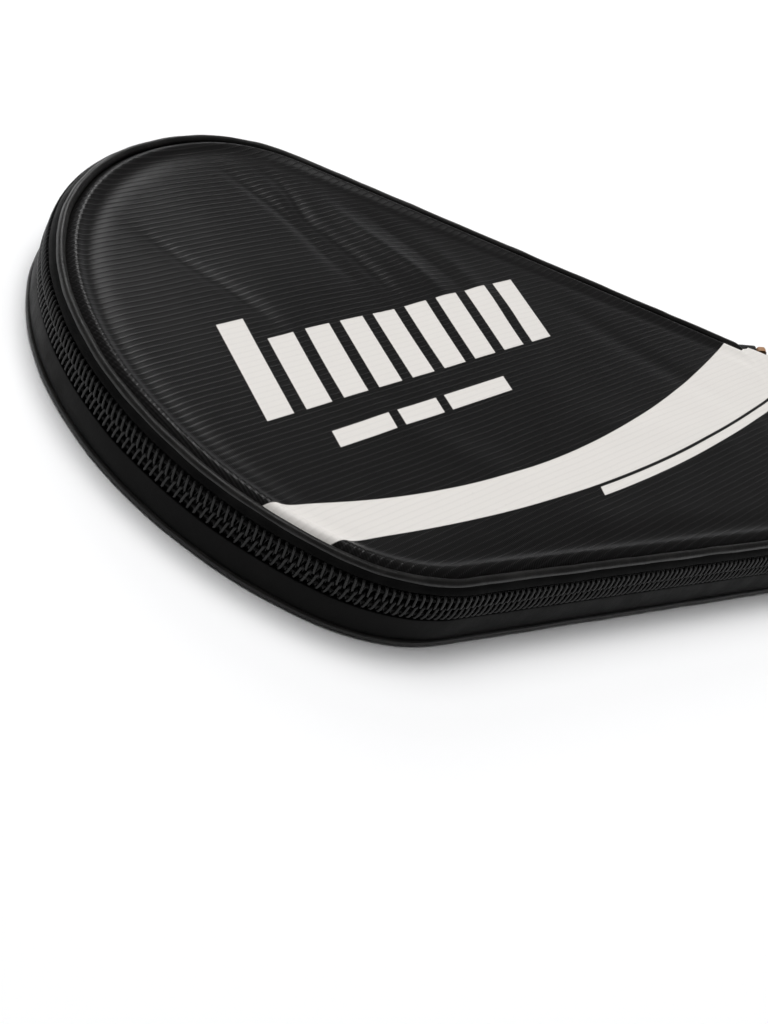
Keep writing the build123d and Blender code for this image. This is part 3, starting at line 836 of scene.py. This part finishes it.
finish_strip(
    carry(
        "rear_tape_strip", strip_profile(-0.95, -1.6, 6.0, CHAIN_MID - 0.15, 4, 0.2), TAPE,
        RIM_FROM, RIM_TO, 2.0,
    ),
    "rear_shell", "zipper_tape", "rear_zipper_tape",
)
finish_strip(
    carry(
        "lid_tape_strip", strip_profile(-0.95, -1.6, CHAIN_MID + 0.15, 18.7, 4, 0.2), TAPE,
        RIM_FROM, RIM_TO, 2.0,
    ),
    "front_lid", "zipper_tape", "front_zipper_tape",
)
REAR_BINDING = rounded([(-1.15, 0.75), (-1.2, 2.0), (-2.6, 2.3), (-2.7, 0.8)], 0.4)
LID_BINDING = rounded([(-2.0, 18.0), (-2.0, 19.2), (-3.4, 19.3), (-3.5, 17.9)], 0.4)
finish_strip(
    carry("rear_binding_strip", REAR_BINDING, BINDING, 0, ROUND, 2.0),
    "rear_shell", "binding_tape", "rear_seam_binding",
)
finish_strip(
    carry("lid_binding_strip", LID_BINDING, BINDING, RIM_FROM, RIM_TO, 2.0),
    "front_lid", "binding_tape", "front_seam_binding",
)


def pocket_wobble(s, rows):
    moved = rows.copy()
    z = rows[..., 1]
    belly = np.sin(np.clip((z - WALL_FOOT) / (TOP_Z - 3.0), 0, 1) * math.pi)
    moved[..., 0] += belly * (0.45 + 0.18 * ripple(s, 3.3, 37))
    return moved


finish_strip(
    carry(
        "pocket_wall_strip", strip_profile(0.3, -0.9, 2.0, TOP_Z - 0.65, 12), WALL,
        RIM, ROUND, 1.2, pocket_wobble,
    ),
    "rear_shell", "side_vinyl", "pocket_side_wall",
)

# ================================================================ zipper coil
COIL_PITCH = 2.045
FILAMENT = 0.42
COIL_DEPTH = 2.1
HEAD_OVERLAP = 0.80
TURN_STEPS = 20
COIL_SIDES = 8
COIL_FROM = (NECK_X - COIL_END_X) / math.cos(TAPER)


def coil_half(name, up, offset, mat):
    """One half of the chain: nylon wound in flat turns whose heads cross the mid line."""
    turns = int((RIM - 2 * COIL_FROM) / COIL_PITCH) - 1
    t = np.arange(turns * TURN_STEPS + 1) / TURN_STEPS
    s = COIL_FROM + COIL_PITCH * (t + offset)
    phase = -2 * math.pi * t
    reach = (CHAIN_HIGH - CHAIN_LOW) / 2
    half_long = (reach + HEAD_OVERLAP) / 2 - FILAMENT
    middle = (reach - HEAD_OVERLAP) / 2
    flat = 0.8
    lift = np.sign(np.cos(phase)) * np.abs(np.cos(phase)) ** flat
    depth = np.sign(np.sin(phase)) * np.abs(np.sin(phase)) ** flat
    out = COIL_PROUD - COIL_DEPTH / 2 + (COIL_DEPTH / 2 - FILAMENT) * depth
    z = CHAIN_MID + up * (middle + half_long * lift)
    x, y, nx, ny = seam(s)
    path = np.stack([x + nx * out, y + ny * out, z], -1)
    tangent = np.gradient(path, axis=0)
    tangent /= np.linalg.norm(tangent, axis=1)[:, None]
    rimward = np.stack([-ny, nx, np.zeros_like(x)], -1)
    side = rimward - tangent * np.sum(rimward * tangent, 1)[:, None]
    side /= np.linalg.norm(side, axis=1)[:, None]
    other = np.cross(tangent, side)
    swell = FILAMENT * (1 + 0.16 * np.clip(-np.cos(phase), 0, 1) ** 4)
    turn = np.arange(COIL_SIDES) * 2 * math.pi / COIL_SIDES
    ring = (
        path[:, None]
        + side[:, None] * (np.cos(turn)[None] * swell[:, None])[..., None]
        + other[:, None] * (np.sin(turn)[None] * FILAMENT)[..., None]
    )
    lay = np.zeros_like(ring)
    lay[..., 0] = s[:, None]
    lay[..., 1] = z[:, None]
    lay[..., 2] = turn[None]
    faces = grid_faces(len(t), COIL_SIDES)
    faces += [list(range(COIL_SIDES)), list(range((len(t) - 1) * COIL_SIDES, len(t) * COIL_SIDES))[::-1]]
    return add_piece(name, ring.reshape(-1, 3), faces, lay.reshape(-1, 3), mat)


finish_strip(coil_half("rear_coil_turns", -1, 0.5, COIL), "rear_shell", "zipper_coil", "rear_zipper_coil")
finish_strip(coil_half("lid_coil_turns", 1, 0.0, COIL), "front_lid", "zipper_coil", "front_zipper_coil")

# ================================================================ hard pieces kept from the CAD
FINISHES = {
    "rear_coil_cord": CORD, "front_coil_cord": CORD,
    "pocket_mouth_binding": BINDING, "lid_edge_binding": BINDING,
    "zipper_bottom_stop": BLACK_METAL, "rear_top_stop": BLACK_METAL, "front_top_stop": BLACK_METAL,
    "slider_body": BLACK_METAL, "slider_bridge": BLACK_METAL, "slider_lock_spring": STEEL,
    "pull_link": BLACK_METAL, "pull_grip": PULL_BLACK, "pull_tip": PULL_TAN,
}
for node_name, finish in FINISHES.items():
    kept = frame["nodes"][node_name]
    kept.data.materials.clear()
    kept.data.materials.append(finish)
    edge = kept.modifiers.new("soft_edge", "BEVEL")
    edge.width = 0.18 * MM
    edge.segments = 2
    edge.limit_method = "ANGLE"

# ================================================================ floor, light and camera
FLOOR_REACH = 20.0
floor_mesh = bpy.data.meshes.new("floor")
floor_mesh.from_pydata(
    [
        (-FLOOR_REACH, -FLOOR_REACH, 0), (FLOOR_REACH, -FLOOR_REACH, 0),
        (FLOOR_REACH, FLOOR_REACH, 0), (-FLOOR_REACH, FLOOR_REACH, 0),
    ],
    [], [(0, 1, 2, 3)],
)
floor = bpy.data.objects.new("floor", floor_mesh)
bpy.context.scene.collection.objects.link(floor)
floor_finish = Graph("floor_paper", Roughness=0.85, Specular_IOR_Level=0.2)
floor_finish.shader.inputs["Base Color"].default_value = (0.93, 0.93, 0.935, 1)
floor_mesh.materials.append(floor_finish.material)

world = bpy.data.worlds.new("studio")
bpy.context.scene.world = world
world.use_nodes = True
sky = world.node_tree
backdrop = sky.nodes["Background"]
backdrop.inputs["Color"].default_value = (0.97, 0.98, 1.0, 1)
view_way = sky.nodes.new("ShaderNodeSeparateXYZ")
sky.links.new(sky.nodes.new("ShaderNodeTexCoord").outputs["Generated"], view_way.inputs[0])
dimmer = sky.nodes.new("ShaderNodeMapRange")
for socket, value in (("From Min", 0.06), ("From Max", 0.16), ("To Min", 1.0), ("To Max", 0.06)):
    dimmer.inputs[socket].default_value = value
sky.links.new(view_way.outputs["Z"], dimmer.inputs["Value"])
sky.links.new(dimmer.outputs[0], backdrop.inputs["Strength"])


def lamp(name, kind, azimuth, elevation, energy, distance=1.6, mirrored=True, **settings):
    """A soft light from a compass direction, in degrees, aimed at the case."""
    light = bpy.data.lights.new(name, kind)
    light.energy = energy
    for key, value in settings.items():
        setattr(light, key, value)
    placed = bpy.data.objects.new(name, light)
    az, el = math.radians(azimuth), math.radians(elevation)
    way = Vector((math.cos(el) * math.cos(az), math.cos(el) * math.sin(az), math.sin(el)))
    placed.location = way * distance
    placed.rotation_euler = way.to_track_quat("Z", "Y").to_euler()
    placed.visible_glossy = mirrored
    bpy.context.scene.collection.objects.link(placed)


lamp("key_dome", "SUN", 110, 74, 2.7, mirrored=False, angle=math.radians(60))
lamp("window", "AREA", 90, 32, 3.0, shape="SQUARE", size=0.4)
lamp("kicker", "AREA", 84, 72, 4.6, shape="SQUARE", size=0.5)

CAMERA_PLACE = (-278.9, -353.6, 263.4)
CAMERA_YAW, CAMERA_PITCH, CAMERA_ROLL = (math.radians(a) for a in (53.77, 34.78, 31.81))
forward = Vector((
    math.cos(CAMERA_PITCH) * math.cos(CAMERA_YAW),
    math.cos(CAMERA_PITCH) * math.sin(CAMERA_YAW),
    -math.sin(CAMERA_PITCH),
))
level = Vector((math.sin(CAMERA_YAW), -math.cos(CAMERA_YAW), 0))
upward = level.cross(forward)
right = level * math.cos(CAMERA_ROLL) + upward * math.sin(CAMERA_ROLL)
above = upward * math.cos(CAMERA_ROLL) - level * math.sin(CAMERA_ROLL)
camera_data = bpy.data.cameras.new("camera")
camera_data.lens = 59.45
camera_data.sensor_width = 36.0
camera = bpy.data.objects.new("camera", camera_data)
camera.matrix_world = Matrix.Translation(Vector(CAMERA_PLACE) * MM) @ Matrix(
    (right, above, -forward)
).transposed().to_4x4()
bpy.context.scene.collection.objects.link(camera)
bpy.context.scene.camera = camera
bpy.context.scene.view_settings.view_transform = "Standard"
